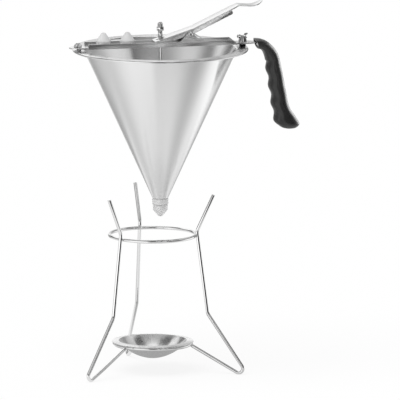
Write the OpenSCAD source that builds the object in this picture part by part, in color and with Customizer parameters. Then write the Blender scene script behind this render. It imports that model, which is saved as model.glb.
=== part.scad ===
// Batter dispenser: a conical funnel with a lever valve, and the wire stand with a
// drip bowl that it is set down in.
// Frame: origin on the stand's axis at the floor, +Z up, +X along the bridge to the grip.
// The funnel is drawn held over its stand: funnel_lift above its seat and funnel_side beside it.

/* [Funnel] */
// Outer radius of the cone at the flange
mouth_r = 89; // [75:1:100]
// Outer radius of the cone at its outlet
outlet_r = 9; // [8.5:0.25:12]
// Height of the cone from the outlet to the flange
cone_h = 174.4; // [140:1:210]
// Thickness of the funnel's sheet
sheet_t = 1; // [0.6:0.1:1.4]
// Width of the flange round the mouth
flange_w = 12.2; // [11:0.1:16]
// Diameter of the rolled bead on the flange's edge
bead_d = 2.6; // [2:0.2:4]
// Bend radius between the cone and the flange
mouth_bend_r = 2; // [1:0.5:3]
// How far the funnel is lifted above its seat in the stand
funnel_lift = 125.4; // [110:0.2:160]
// How far the funnel is held beside the stand's axis
funnel_side = 9; // [-12:0.5:12]

/* [Outlet and nozzles] */
// Bore radius of the outlet ferrule, which is the valve seat
seat_r = 6; // [5:0.25:6.25]
// Wall of the outlet ferrule
ferrule_t = 1; // [0.8:0.1:1.2]
// Outer radius of the collar
collar_r = 9.3; // [9.1:0.1:12]
// Height of the collar
collar_h = 7.1; // [5:0.1:10]
// Outer radius of a nozzle's skirt
nozzle_r = 8.4; // [8:0.1:9]
// Height of a nozzle's skirt
skirt_h = 6.3; // [5:0.1:8]
// Height of the fitted nozzle's cone, from the skirt to the tip
tip_h = 7.4; // [6:0.2:12]
// Height of the spare nozzles' cones
spare_tip_h = 9; // [6:0.2:12]
// Outer radius of a nozzle's tip
tip_r = 2.9; // [2.4:0.1:4]
// Wall of a nozzle
nozzle_wall = 1; // [0.8:0.1:1.1]
// Places of the two spare nozzles along the bridge
spare_left_x = -66.5; // [-75:0.5:-58]
spare_right_x = -38.5; // [-48:0.5:-32]

/* [Bridge] */
// Outer width of the bridge's channel
bridge_w = 23.5; // [22.5:0.5:28]
// Thickness of the bridge's sheet
bridge_t = 1.5; // [1:0.1:2]
// Height of the channel's walls over the floor
wall_h = 4.2; // [3.5:0.1:7]
// Ends of the channel's walls
wall_start_x = -90.5; // [-91.5:0.5:-86]
wall_end_x = 83; // [75:0.5:85]
// Width of the strip beyond the channel
strip_w = 18; // [15:0.5:19]
// How far the strip reaches beyond the left stud
strip_over = 10; // [8:0.5:12]
// End of the strip in front of the grip
strip_end_x = 109; // [107:0.5:110]
// Width of the tang in the grip
tang_w = 12; // [8:0.5:12]
// Length of the tang in the grip
tang_l = 8; // [5:0.5:8]
// Distance of each stud from the axis
stud_x = 96.5; // [95:0.25:98]
// Height of the spacers between the flange and the bridge
spacer_h = 2.4; // [2:0.1:4]
// Radius of the spacers
spacer_r = 3.75; // [3.5:0.25:5.5]
// Height of the pegs that the spare nozzles stand on
peg_h = 3; // [2:0.5:5]

/* [Studs and nuts] */
// Radius of the studs
stud_r = 2; // [1.5:0.1:2.2]
// Height of the studs over the bridge
stud_reach = 3.6; // [3:0.1:4]
// Width of the nuts across their flats
nut_w = 8; // [7:0.5:9]
// Height of the dome nut's hexagon
nut_h = 4.2; // [3:0.1:5]
// Turn of the dome nut about the rod
nut_turn = 18; // [0:1:60]
// Height of the dome nut
dome_nut_h = 10.1; // [9:0.1:12]
// Radius of the dome nut's dome
dome_r = 3; // [2.8:0.1:3.6]
// Height of the cap nut's hexagon
cap_hex_h = 2.8; // [2:0.1:3.5]
// Height of the cap nut
cap_nut_h = 5.5; // [5:0.1:7]
// Radius of the cap nut's dome
cap_dome_r = 3.8; // [3.4:0.1:3.9]
// Width of the jam nut across its flats
jam_nut_w = 7; // [6.5:0.5:8]
// Height of the jam nut
jam_nut_h = 3; // [2:0.1:3.2]
// Span of the wing nut
wing_span = 19.6; // [17:0.2:24]
// Height of the wing nut's wings
wing_h = 9.4; // [8:0.2:11]
// Thickness of the wing nut's wings
wing_t = 2.3; // [1.2:0.1:2.6]
// Radius of the wing nut's hub
hub_r = 4.4; // [3.6:0.1:4.8]
// Height of the wing nut's hub
hub_h = 7; // [5:0.2:8]
// Turn of the wing nut about its stud
wing_turn = 44; // [0:1:90]

/* [Pivot and lever] */
// Place of the pivot along the bridge
pivot_x = 32.9; // [28:0.5:38]
// Height of the pivot over the bridge's underside
pivot_rise = 14; // [12:0.1:15]
// Radius of the hollow rivet
rivet_r = 1.9; // [1.6:0.1:2.2]
// Radius of the rivet's heads
rivet_head_r = 2.9; // [2.6:0.1:3.4]
// Width of a lug where it leaves the wall
lug_base = 23; // [18:1:28]
// Radius of a lug's top
lug_r = 3.4; // [3.2:0.1:4.2]
// Outer width of the lever
lever_w = 19.6; // [18:0.1:20]
// Thickness of the lever's sheet
lever_t = 1.2; // [0.8:0.1:1.4]
// Distance of the lever's top face from the pivot
lever_rise = 4.9; // [4.7:0.1:6]
// Slope of the short arm
short_slope = 17.6; // [14:0.1:20]
// Slope of the long arm
long_slope = 25.1; // [22:0.1:32]
// Length of the short arm from the pivot to its end
short_arm = 41.4; // [39:0.2:44]
// Distance from the pivot to the bend, along the short arm
bend_ahead = 6; // [5:0.1:8]
// Length of the long arm from its bend to the thumb rest
long_arm = 58.4; // [50:0.2:64]
// Length of the thumb rest's flat part
rest_run = 11.7; // [9:0.1:18]
// Radius of the thumb rest's upturned end
rest_r = 22; // [18:1:30]
// Slope of the thumb rest's end
rest_slope = 42; // [30:1:50]
// Width of the thumb rest
rest_w = 16; // [12:0.5:18]
// Depth of the lever's side flanges
flange_depth = 5.8; // [4:0.1:6.4]

/* [Valve] */
// Radius of the valve rod
rod_r = 2; // [1.5:0.1:2.2]
// Outer radius of the sleeve on the rod
sleeve_r = 2.6; // [2.5:0.05:3.2]
// Length of the sleeve
sleeve_l = 8.3; // [6:0.1:12]
// Radius of the valve plug
plug_r = 6.8; // [6.6:0.05:7]
// Height of the plug's taper
nose_h = 6; // [4:0.5:7]

/* [Grip] */
// Height of the grip
grip_h = 106.3; // [100:0.1:112]
// Half width of the grip
grip_half_w = 13; // [12.5:0.5:15]
// Wall of the grip round its socket
grip_wall = 2; // [1.5:0.1:2.2]
// Height of the bumps between the fingers
finger_bump = 1.2; // [0.5:0.1:2]
// Distance between the bumps
finger_pitch = 20.2; // [18:0.2:22]

/* [Stand] */
// Diameter of the stand's wire
wire_d = 4; // [3:0.5:5]
// Centreline radius of the upper ring
ring_r = 49.5; // [42:0.5:60]
// Centreline height of the upper ring
ring_z = 158.9; // [140:1:180]
// Height of the prongs' tips over the upper ring
prong_rise = 49; // [30:1:60]
// Centreline radius of the legs' knees
knee_r = 65; // [60:1:75]
// Centreline height of the legs' knees
knee_z = 69.7; // [60:1:80]
// Radius at which the feet bend
foot_r = 101.6; // [92:1:115]
// Bend radius of the feet
foot_bend_r = 5; // [4:0.5:8]
// Bend radius of the knees and of the prongs
knee_bend_r = 12; // [8:1:20]
// How far the lower ring's centreline lies inside the drip bowl's edge
ring_inset = 2.6; // [2.2:0.1:3]
// Centreline height of the lower ring
lower_ring_z = 32.6; // [30:0.5:40]
// Turn of the right leg about the axis
leg_turn = -25.85; // [-40:1:-10]

/* [Drip bowl] */
// Outer radius of the bowl's flange
bowl_r = 47; // [43:0.5:52]
// Width of the bowl's flange
bowl_flange_w = 8; // [7:0.2:10]
// Depth of the bowl
bowl_depth = 20; // [14:0.5:24]
// Thickness of the bowl's sheet
bowl_t = 0.8; // [0.5:0.1:1]

/* [Fits] */
// Gap between pieces that lie on each other and come apart
seat_gap = 0.25; // [0.2:0.05:0.35]
// Gap round pieces that turn or slide in each other
running_gap = 0.08; // [0.05:0.01:0.1]
// Gap between pieces that are fixed to each other
fixed_gap = 0.02; // [0.01:0.01:0.05]
// Gap round pieces that pass each other
free_gap = 0.4; // [0.3:0.1:0.6]
// Depth to which welded wires sink into each other
weld_depth = 0.3; // [0.2:0.05:0.5]

/* [Hidden] */
$fn = 64;
wire_sides = 16;
// Largest turn between two sections of a bent wire
bend_step_angle = 12;

steel = "silver";
bright_steel = "gainsboro";
plastic = "whitesmoke";
black = "dimgray";

// A length that cuts reach past the faces that they cut
cut_over = 1;

// Cone
cone_slope = (mouth_r - outlet_r) / cone_h;
cone_angle = atan(cone_slope);
wall_across = sheet_t / cos(cone_angle);
wire_r = wire_d / 2;
seated_z = ring_z - (ring_r - outlet_r - (wire_r + seat_gap) / cos(cone_angle)) / cone_slope;
outlet_z = seated_z + funnel_lift;
flange_z = outlet_z + cone_h;
rim_r = mouth_r + flange_w;

// Outlet
ferrule_r = seat_r + ferrule_t;
// Height of the valve seat's edge over the outlet
seat_rise = 0.6;
collar_z = outlet_z - collar_h;
thread_l = skirt_h - nozzle_wall - seat_gap;
socket_r = ferrule_r + running_gap;
orifice_r = tip_r - nozzle_wall;

// Bridge
bridge_z = flange_z + spacer_h;
floor_z = bridge_z + bridge_t;
wall_z = floor_z + wall_h;
wall_bend = 4;
wall_taper = 7;
tang_end_x = strip_end_x + tang_l;

// Lever, in the side view: X along the bridge, Z up
pivot_z = bridge_z + pivot_rise;
short_dir = [cos(short_slope), sin(short_slope)];
short_up = [-sin(short_slope), cos(short_slope)];
long_dir = [cos(long_slope), sin(long_slope)];
long_up = [-sin(long_slope), cos(long_slope)];
pivot = [pivot_x, pivot_z];
lever_end = pivot + lever_rise * short_up - short_arm * short_dir;
bend_angle = (long_slope - short_slope) / 2;
bend_up = [-sin(short_slope + bend_angle), cos(short_slope + bend_angle)];
lever_bend = pivot + lever_rise * short_up + bend_ahead * short_dir;
lever_kink = lever_bend + long_arm * long_dir;
rod_face_z = lever_end[1] - lever_end[0] * tan(short_slope);
sleeve_z = rod_face_z + sleeve_r * tan(short_slope) + seat_gap;

// Leg, in its own plane: distance from the axis, then height
leg_r = ring_r + wire_d - weld_depth;
leg_lean = (leg_r - knee_r) / (ring_z - knee_z);
prong_z = ring_z + (leg_r - ring_r) / (cone_slope - leg_lean);
prong_bend = [ring_r + cone_slope * (prong_z - ring_z), prong_z];
prong_tip = prong_bend + (ring_z + prong_rise - prong_z) * [cone_slope, 1];
knee = [knee_r, knee_z];
foot_centre = [foot_r, wire_r + foot_bend_r];
lower_ring_r = bowl_r - ring_inset;
ring_centre = [lower_ring_r, lower_ring_z];
bowl_mouth_r = bowl_r - bowl_flange_w;

// --- Shared functions and modules ---

// Points of an arc round c from angle a to angle b
function arc(c, r, a, b, n = 8) = [for (i = [0 : n])
    let (angle = a + (b - a) * i / n)
    c + r * [cos(angle), sin(angle)]];

// Angle of a flat vector
function heading(v) = atan2(v[1], v[0]);

// Where the line from p along u meets the line from q along v
function crossing(p, u, q, v) =
    let (d = u[0] * v[1] - u[1] * v[0], w = q - p)
    p + u * (w[0] * v[1] - w[1] * v[0]) / d;

// Direction of the line from p that touches the circle round c on the given side
function touching(p, c, r, side) =
    let (a = heading(c - p) + side * asin(r / norm(c - p)))
    [cos(a), sin(a)];

// Unit vector from point i of a path to the next
function leave(path, i) = (path[i + 1] - path[i]) / norm(path[i + 1] - path[i]);

// How far a path turns at its point i, positive to the left
function turn_at(path, i) =
    let (t = heading(leave(path, i)) - heading(leave(path, i - 1)))
    t > 180 ? t - 360 : t < -180 ? t + 360 : t;

// The points of a path and its heading at each, with its corners rounded to the given radii
function bent(path, bends) = [for (i = [0 : len(path) - 1])
    let (ends = i == 0 || i == len(path) - 1, near = i == 0 ? leave(path, 0) : leave(path, i - 1))
    each ends ? [[path[i], heading(near)]]
    : let (
        turn = turn_at(path, i),
        reach = bends[i] * sign(turn),
        centre = path[i] - bends[i] * tan(abs(turn) / 2) * near + reach * [-near[1], near[0]],
        steps = ceil(abs(turn) / bend_step_angle)
    )
    [for (j = [0 : steps])
        let (h = heading(near) + turn * j / steps)
        [centre + reach * [sin(h), -cos(h)], h]]];

// A round section across a wire at p in the side view, y across it, with heading h
function wire_section(p, y, h, r, sides) = [for (k = [0 : sides - 1])
    let (f = 360 * k / sides, q = p + r * cos(f) * [-sin(h), cos(h)])
    [q[0], y - r * sin(f), q[1]]];

// A closed skin through sections, which may turn back into themselves as a socket
module skin(sections) {
    n = len(sections[0]);
    rows = len(sections);
    side_faces = [for (i = [0 : rows - 2], k = [0 : n - 1], half = [0, 1])
        let (a = i * n + k, b = i * n + (k + 1) % n)
        half == 0 ? [a, b, b + n] : [a, b + n, a + n]];
    first_cap = [[for (k = [n - 1 : -1 : 0]) k]];
    last_cap = [[for (k = [0 : n - 1]) (rows - 1) * n + k]];
    polyhedron([for (s = sections) each s], concat(side_faces, first_cap, last_cap), convexity = 8);
}

// Turns a side view, drawn in XY, upright and gives it a width centred on the bridge
module upright(width) {
    translate([0, width / 2, 0]) rotate([90, 0, 0]) linear_extrude(width) children();
}

// A hexagon of the given width across its flats
module hexagon(across, h) {
    cylinder(h = h, r = across / 2 / cos(30), $fn = 6);
}

// A hexagonal nut with a dome of radius r, on a bore that ends in the dome
module cap_nut_shape(across, hex_h, r, full_h, bore_r, bore_h) {
    rise = 0.8 * r;
    difference() {
        union() {
            intersection() {
                hexagon(across, hex_h);
                cylinder(h = hex_h, r1 = across / 2 + 1.2, r2 = across / 2 + 0.1);
            }
            cylinder(h = full_h - rise, r = r);
            translate([0, 0, full_h - rise]) dome_top(r, rise);
        }
        translate([0, 0, -cut_over]) cylinder(h = bore_h + cut_over, r = bore_r);
    }
}

// The flattened top of a cap nut, as a slice of a larger ball
module dome_top(r, rise) {
    ball = (r * r + rise * rise) / (2 * rise);
    rotate_extrude() intersection() {
        translate([0, rise - ball]) circle(r = ball);
        square([r, rise]);
    }
}

// --- Stand ---

module leg(turn) {
    outer = touching(knee, foot_centre, foot_bend_r, 1);
    inner = touching(ring_centre, foot_centre, foot_bend_r, -1);
    foot = crossing(knee, outer, ring_centre, inner);
    strut_end = ring_centre + (wire_r - weld_depth) * inner;
    path = [prong_tip, prong_bend, knee, foot, strut_end];
    color(bright_steel) rotate([0, 0, turn])
        skin([for (p = bent(path, [0, knee_bend_r, knee_bend_r, foot_bend_r, 0]))
            wire_section(p[0], 0, p[1], wire_r, wire_sides)]);
}

module right_leg() { leg(leg_turn); }
module back_leg() { leg(leg_turn + 360 / 3); }
module left_leg() { leg(leg_turn - 360 / 3); }

module wire_ring(r, z) {
    color(bright_steel) translate([0, 0, z])
        rotate_extrude($fn = 96) translate([r, 0]) circle(r = wire_r, $fn = 32);
}

module upper_ring() { wire_ring(ring_r, ring_z); }
module lower_ring() { wire_ring(lower_ring_r, lower_ring_z); }

// --- Drip bowl ---

module drip_bowl() {
    rim_drop = 0.8;
    seat_drop = rim_drop * (lower_ring_r - bowl_mouth_r) / (bowl_r - bowl_mouth_r);
    rim_z = lower_ring_z + wire_r + seat_gap + seat_drop + bowl_t;
    // The bowl's hollow is a slice of a ball
    ball = (bowl_mouth_r * bowl_mouth_r + bowl_depth * bowl_depth) / (2 * bowl_depth);
    color(steel) translate([0, 0, rim_z]) {
        rotate_extrude($fn = 96) intersection() {
            translate([0, ball - bowl_depth]) difference() {
                circle(r = ball + bowl_t, $fn = 128);
                circle(r = ball, $fn = 128);
            }
            translate([0, -2 * bowl_depth]) square([2 * bowl_r, 2 * bowl_depth]);
        }
        rotate_extrude($fn = 96) polygon([
            [bowl_mouth_r + 0.2, 0], [bowl_r, -rim_drop], [bowl_r, -rim_drop - bowl_t],
            [bowl_mouth_r, -bowl_t]
        ]);
    }
}

// --- Funnel ---

// Puts what is drawn round the funnel's axis at its place over the stand
module held() {
    translate([funnel_side, 0, 0]) children();
}

module funnel_cone() {
    bend_z = cone_h - sheet_t - mouth_bend_r;
    bend_c = [outlet_r + cone_slope * bend_z + mouth_bend_r / cos(cone_angle), bend_z];
    outer_r = mouth_bend_r;
    inner_r = mouth_bend_r + sheet_t;
    steep = 180 - cone_angle;
    color(steel) held() translate([0, 0, outlet_z]) rotate_extrude($fn = 128) {
        polygon(concat(
            [[outlet_r, 0]],
            arc(bend_c, outer_r, steep, 90, 4),
            [[rim_r - bead_d / 2, cone_h - sheet_t], [rim_r - bead_d / 2, cone_h]],
            arc(bend_c, inner_r, 90, steep, 4),
            [[outlet_r - wall_across, 0]]
        ));
        translate([rim_r - bead_d / 2, cone_h - bead_d / 2]) circle(r = bead_d / 2, $fn = 32);
    }
}

module outlet_ferrule() {
    // The flared lip lies on the inside of the cone
    lip_h = 3;
    lip_t = 0.3;
    lip_r = outlet_r - wall_across - fixed_gap;
    color(steel) held() translate([0, 0, outlet_z]) rotate_extrude() polygon([
        [seat_r, -collar_h - thread_l],
        [ferrule_r, -collar_h - thread_l],
        [ferrule_r, -seat_gap],
        [lip_r, 0],
        [lip_r + lip_h * cone_slope, lip_h],
        [lip_r + lip_h * cone_slope - lip_t, lip_h],
        [seat_r, seat_rise]
    ]);
}

module outlet_collar() {
    chamfer = 0.6;
    color(plastic) held() translate([0, 0, collar_z]) rotate_extrude() polygon([
        [ferrule_r + fixed_gap, 0], [collar_r - chamfer, 0], [collar_r, chamfer],
        [collar_r, collar_h - 2 * chamfer], [collar_r - chamfer, collar_h - seat_gap],
        [ferrule_r + fixed_gap, collar_h - seat_gap]
    ]);
}

// A nozzle standing on its skirt, tip up, with a cone of the given height
module nozzle_shape(cone) {
    tip_bend = 1.2;
    nozzle_h = skirt_h + cone;
    rotate_extrude() difference() {
        polygon(concat(
            [[0, 0], [nozzle_r, 0], [nozzle_r, skirt_h]],
            arc([tip_r - tip_bend, nozzle_h - tip_bend], tip_bend, 30, 90, 4),
            [[0, nozzle_h]]
        ));
        polygon([
            [-cut_over, -cut_over], [socket_r, -cut_over], [socket_r, thread_l + seat_gap],
            [seat_r, thread_l + seat_gap + 0.8], [orifice_r, nozzle_h - 2.4],
            [orifice_r, nozzle_h + cut_over], [-cut_over, nozzle_h + cut_over]
        ]);
    }
}

module nozzle() {
    color(plastic) held() translate([0, 0, collar_z - seat_gap]) rotate([180, 0, 0]) nozzle_shape(tip_h);
}

module spare_nozzle(x) {
    color(plastic) held() translate([x, 0, floor_z + seat_gap]) nozzle_shape(spare_tip_h);
}

module spare_nozzle_left() { spare_nozzle(spare_left_x); }
module spare_nozzle_right() { spare_nozzle(spare_right_x); }

// --- Bridge ---

// Side view of a wall of the channel with its lug
module wall_profile() {
    foot_bend = 3;
    lug_foot = lug_base / 2;
    rise = pivot_z - wall_z;
    // The lug's flank touches the arc round the pivot
    flank = touching([lug_foot, 0], [0, rise], lug_r, -1);
    flank_a = heading(flank) - 90;
    bend_l = foot_bend * tan((180 - heading(flank)) / 2);
    left = pivot_x - lug_foot;
    right = pivot_x + lug_foot;
    foot_c = [lug_foot + bend_l, foot_bend];
    right_foot = [for (p = arc(foot_c, foot_bend, 180 + flank_a, 270, 4)) [pivot_x + p[0], wall_z + p[1]]];
    left_foot = [for (i = [4 : -1 : 0]) [2 * pivot_x - right_foot[i][0], right_foot[i][1]]];
    polygon(concat(
        [[wall_start_x, bridge_z]],
        arc([wall_start_x + wall_bend, wall_z - wall_bend], wall_bend, 180, 90),
        left_foot,
        arc(pivot, lug_r, 180 - flank_a, flank_a, 10),
        right_foot,
        [[wall_end_x, wall_z], [wall_end_x + wall_taper, bridge_z + bridge_t / 2],
         [wall_end_x + wall_taper, bridge_z]]
    ));
}

// Plan of the bridge's floor, with the tang
module floor_plan() {
    channel_l = wall_end_x - wall_start_x - wall_bend;
    step = (strip_w - tang_w) / 2;
    left_end_x = strip_w / 2 - stud_x - strip_over;
    translate([wall_start_x + wall_bend, -bridge_w / 2]) square([channel_l, bridge_w]);
    translate([left_end_x, -strip_w / 2]) square([strip_end_x - step - left_end_x, strip_w]);
    translate([left_end_x, 0]) circle(r = strip_w / 2);
    translate([0, -tang_w / 2]) square([tang_end_x, tang_w]);
    polygon([
        [wall_end_x - 1, -bridge_w / 2], [wall_end_x, -bridge_w / 2],
        [wall_end_x + wall_taper, -strip_w / 2], [strip_end_x - step, -strip_w / 2],
        [strip_end_x, -tang_w / 2], [strip_end_x, tang_w / 2],
        [strip_end_x - step, strip_w / 2], [wall_end_x + wall_taper, strip_w / 2],
        [wall_end_x, bridge_w / 2], [wall_end_x - 1, bridge_w / 2]
    ]);
}

// Space over the bridge's floor that its walls may fill
module wall_plan() {
    translate([0, 0, bridge_z]) linear_extrude(cone_h) floor_plan();
}

module bridge() {
    peg_r = seat_r + ferrule_t - free_gap;
    color(steel) held() difference() {
        union() {
            translate([0, 0, bridge_z]) linear_extrude(bridge_t) floor_plan();
            intersection() {
                difference() {
                    upright(bridge_w) wall_profile();
                    upright(bridge_w - 2 * bridge_t)
                        translate([-rim_r, bridge_z]) square([2 * rim_r, cone_h]);
                }
                wall_plan();
            }
            for (x = [spare_left_x, spare_right_x])
                translate([x, 0, bridge_z]) cylinder(h = bridge_t + peg_h, r = peg_r);
        }
        translate([0, 0, bridge_z - cut_over]) cylinder(h = bridge_t + 2 * cut_over, r = rod_r + free_gap);
        for (x = [-stud_x, stud_x])
            translate([x, 0, bridge_z - cut_over])
                cylinder(h = bridge_t + 2 * cut_over, r = stud_r + fixed_gap);
        translate([pivot_x, bridge_w / 2 + cut_over, pivot_z]) rotate([90, 0, 0])
            cylinder(h = bridge_w + 2 * cut_over, r = rivet_r + fixed_gap);
    }
}

module stud(x) {
    color(bright_steel) held() translate([x, 0, flange_z + fixed_gap])
        cylinder(h = spacer_h + bridge_t + stud_reach, r = stud_r);
}

module left_stud() { stud(-stud_x); }
module right_stud() { stud(stud_x); }

module spacer(x) {
    color(black) held() translate([x, 0, flange_z + fixed_gap]) difference() {
        cylinder(h = spacer_h - 2 * fixed_gap, r = spacer_r);
        translate([0, 0, -cut_over]) cylinder(h = spacer_h + 2 * cut_over, r = stud_r + fixed_gap);
    }
}

module left_spacer() { spacer(-stud_x); }
module right_spacer() { spacer(stud_x); }

module cap_nut() {
    color(bright_steel) held() translate([-stud_x, 0, floor_z + fixed_gap])
        cap_nut_shape(nut_w, cap_hex_h, cap_dome_r, cap_nut_h, stud_r + fixed_gap, stud_reach + free_gap);
}

module wing_nut() {
    tip = 2.4;
    color(bright_steel) held() translate([stud_x, 0, floor_z + seat_gap]) rotate([0, 0, wing_turn]) {
        difference() {
            union() {
                cylinder(h = hub_h, r1 = hub_r + 0.6, r2 = hub_r - 0.4);
                for (side = [0, 180]) rotate([0, 0, side]) upright(wing_t) polygon(concat(
                    [[hub_r - 1.4, 1.6], [hub_r + 1.6, 2.6]],
                    arc([wing_span / 2 - tip, wing_h - tip], tip, -30, 150, 8),
                    [[hub_r - 1.4, hub_h - 0.6]]
                ));
            }
            translate([0, 0, -cut_over]) cylinder(h = hub_h + 2 * cut_over, r = stud_r + running_gap);
        }
    }
}

// --- Lever ---

module pivot_rivet() {
    head_t = 0.9;
    bore_r = rivet_r - 0.7;
    reach = bridge_w / 2 + fixed_gap;
    place = [pivot_x, reach + head_t, pivot_z];
    color(bright_steel) held() translate(place) rotate([90, 0, 0]) difference() {
        union() {
            cylinder(h = 2 * (reach + head_t), r = rivet_r);
            cylinder(h = head_t, r1 = rivet_head_r - 0.4, r2 = rivet_head_r);
            translate([0, 0, 2 * reach + head_t])
                cylinder(h = head_t, r1 = rivet_head_r, r2 = rivet_head_r - 0.4);
        }
        translate([0, 0, -cut_over]) cylinder(h = 2 * (reach + head_t + cut_over), r = bore_r);
    }
}

// Thumb rest: the sheet turns down at the kink, runs nearly level and turns up at its end
rest_dip = 4.5;
kink_bend = 3;
kink_c = lever_kink - kink_bend * long_up;
rest_dir = [cos(rest_dip), -sin(rest_dip)];
rest_up = [sin(rest_dip), cos(rest_dip)];
dish_start = kink_c + kink_bend * rest_up + rest_run * rest_dir;
dish_c = dish_start + rest_r * rest_up;
rest_end = dish_c + rest_r * [sin(rest_slope), -cos(rest_slope)];

// Side view of the lever's sheet
module lever_side() {
    polygon(concat(
        [lever_end, lever_bend],
        arc(kink_c, kink_bend, 90 + long_slope, 90 - rest_dip, 6),
        arc(dish_c, rest_r, 270 - rest_dip, 270 + rest_slope, 8),
        arc(dish_c, rest_r + lever_t, 270 + rest_slope, 270 - rest_dip, 8),
        arc(kink_c, kink_bend - lever_t, 90 - rest_dip, 90 + long_slope, 6),
        [lever_bend - lever_t / cos(bend_angle) * bend_up, lever_end - lever_t * short_up]
    ));
}

// Side view of a side flange: as deep as flange_depth, clear of the bridge, with an ear at the pivot
module flange_side() {
    stop = 9.5;
    far = lever_bend + (long_arm - stop) * long_dir;
    low = flange_depth;
    corner = 2;
    clear_z = floor_z + free_gap + 0.2;
    difference() {
        union() {
            polygon(concat(
                [lever_end, lever_bend, far],
                arc(far - corner * long_dir - (low - corner) * long_up, corner,
                    long_slope, long_slope - 90, 4),
                [lever_bend - low / cos(bend_angle) * bend_up, lever_end - low * short_up]
            ));
            translate(pivot) circle(r = lug_r + 0.6);
        }
        translate([-rim_r, clear_z - cone_h]) square([2 * rim_r, cone_h]);
        translate(pivot) circle(r = rivet_r + running_gap);
    }
}

// Plan of the lever: full width, with a narrower round thumb rest
module lever_plan() {
    shoulder = lever_kink[0] - 6;
    corner = 3;
    rest_half = rest_w / 2;
    end_x = lever_end[0] + corner;
    for (side = [-1, 1]) translate([end_x, side * (lever_w / 2 - corner)]) circle(r = corner);
    translate([lever_end[0], corner - lever_w / 2]) square([2 * corner, lever_w - 2 * corner]);
    translate([end_x, -lever_w / 2]) square([shoulder - end_x, lever_w]);
    polygon([
        [shoulder - corner, -lever_w / 2], [shoulder, -lever_w / 2], [shoulder + 6, -rest_half],
        [rest_end[0] - rest_half, -rest_half], [rest_end[0] - rest_half, rest_half],
        [shoulder + 6, rest_half], [shoulder, lever_w / 2], [shoulder - corner, lever_w / 2]
    ]);
    translate([rest_end[0] - rest_half, 0]) circle(r = rest_half);
}

module lever() {
    slot_half = 2.5;
    color(steel) held() {
        difference() {
            intersection() {
                upright(lever_w) lever_side();
                translate([0, 0, bridge_z]) linear_extrude(cone_h) lever_plan();
            }
            translate([0, 0, bridge_z]) linear_extrude(pivot_rise) {
                for (x = [-slot_half, slot_half]) translate([x, 0]) circle(r = rod_r + free_gap);
                square([2 * slot_half, 2 * (rod_r + free_gap)], center = true);
            }
        }
        intersection() {
            difference() {
                upright(lever_w) flange_side();
                upright(lever_w - 2 * lever_t) translate([-rim_r, bridge_z]) square([2 * rim_r, cone_h]);
            }
            translate([0, 0, bridge_z]) linear_extrude(cone_h) lever_plan();
        }
    }
}

// A torsion spring round the rivet: one leg bears on the bridge, the other under the lever
module lever_spring() {
    wire = 0.5;
    coil_r = 2.9;
    turns = 5;
    coil_w = turns * (2 * wire + 0.2);
    floor_leg = 57;
    lever_leg = -53;
    floor_reach = 26.2;
    lever_reach = 24.8;
    count = 12 * turns;
    sweep = 360 * turns + lever_leg - floor_leg;
    // Each point: its place in the side view, its place across the bridge, the wire's heading
    coil = [for (i = [0 : count])
        let (a = floor_leg + sweep * i / count)
        [pivot + coil_r * [cos(a), sin(a)], coil_w * (i / count - 0.5), a + 90]];
    first = coil[0];
    final = coil[count];
    floor_end = [first[0] - floor_reach * [cos(first[2]), sin(first[2])], first[1], first[2]];
    lever_tip = [final[0] + lever_reach * [cos(final[2]), sin(final[2])], final[1], final[2]];
    color(bright_steel) held() skin([for (p = concat([floor_end], coil, [lever_tip]))
        wire_section(p[0], p[1], p[2], wire, 8)]);
}

// --- Valve ---

// The plug closes the ferrule's bore from above and tapers into it
plug_slope = 0.7;
plug_gap = 0.4;
plug_z = outlet_z + seat_rise + (plug_r - seat_r) / plug_slope + plug_gap;
// Depth of the rod in the plug
rod_sink = 1.5;
// Depth of the bore in the dome nut
dome_bore_h = nut_h + 2;

module valve_plug() {
    nose_r = plug_r - nose_h * plug_slope;
    neck_h = 5;
    neck_r = 4;
    color(plastic) held() translate([0, 0, plug_z]) difference() {
        rotate_extrude() polygon([
            [0, -nose_h], [nose_r, -nose_h], [plug_r, 0], [plug_r - 0.3, 1.4],
            [neck_r, 3], [neck_r - 0.5, neck_h], [0, neck_h]
        ]);
        translate([0, 0, -rod_sink]) cylinder(h = rod_sink + neck_h + cut_over, r = rod_r + fixed_gap);
    }
}

module valve_rod() {
    rod_z = plug_z - rod_sink + fixed_gap;
    color(bright_steel) held() translate([0, 0, rod_z])
        cylinder(h = sleeve_z + sleeve_l + dome_bore_h - fixed_gap - rod_z, r = rod_r);
}

module rod_sleeve() {
    color(bright_steel) held() translate([0, 0, sleeve_z]) difference() {
        cylinder(h = sleeve_l - fixed_gap, r = sleeve_r);
        translate([0, 0, -cut_over]) cylinder(h = sleeve_l + 2 * cut_over, r = rod_r + fixed_gap);
    }
}

module dome_nut() {
    color(bright_steel) held() translate([0, 0, sleeve_z + sleeve_l]) rotate([0, 0, nut_turn])
        cap_nut_shape(nut_w, nut_h, dome_r, dome_nut_h, rod_r + fixed_gap, dome_bore_h);
}

module jam_nut() {
    color(bright_steel) held() translate([0, 0, floor_z + free_gap]) difference() {
        hexagon(jam_nut_w, jam_nut_h);
        translate([0, 0, -cut_over]) cylinder(h = jam_nut_h + 2 * cut_over, r = rod_r + fixed_gap);
    }
}

// --- Grip ---

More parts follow.
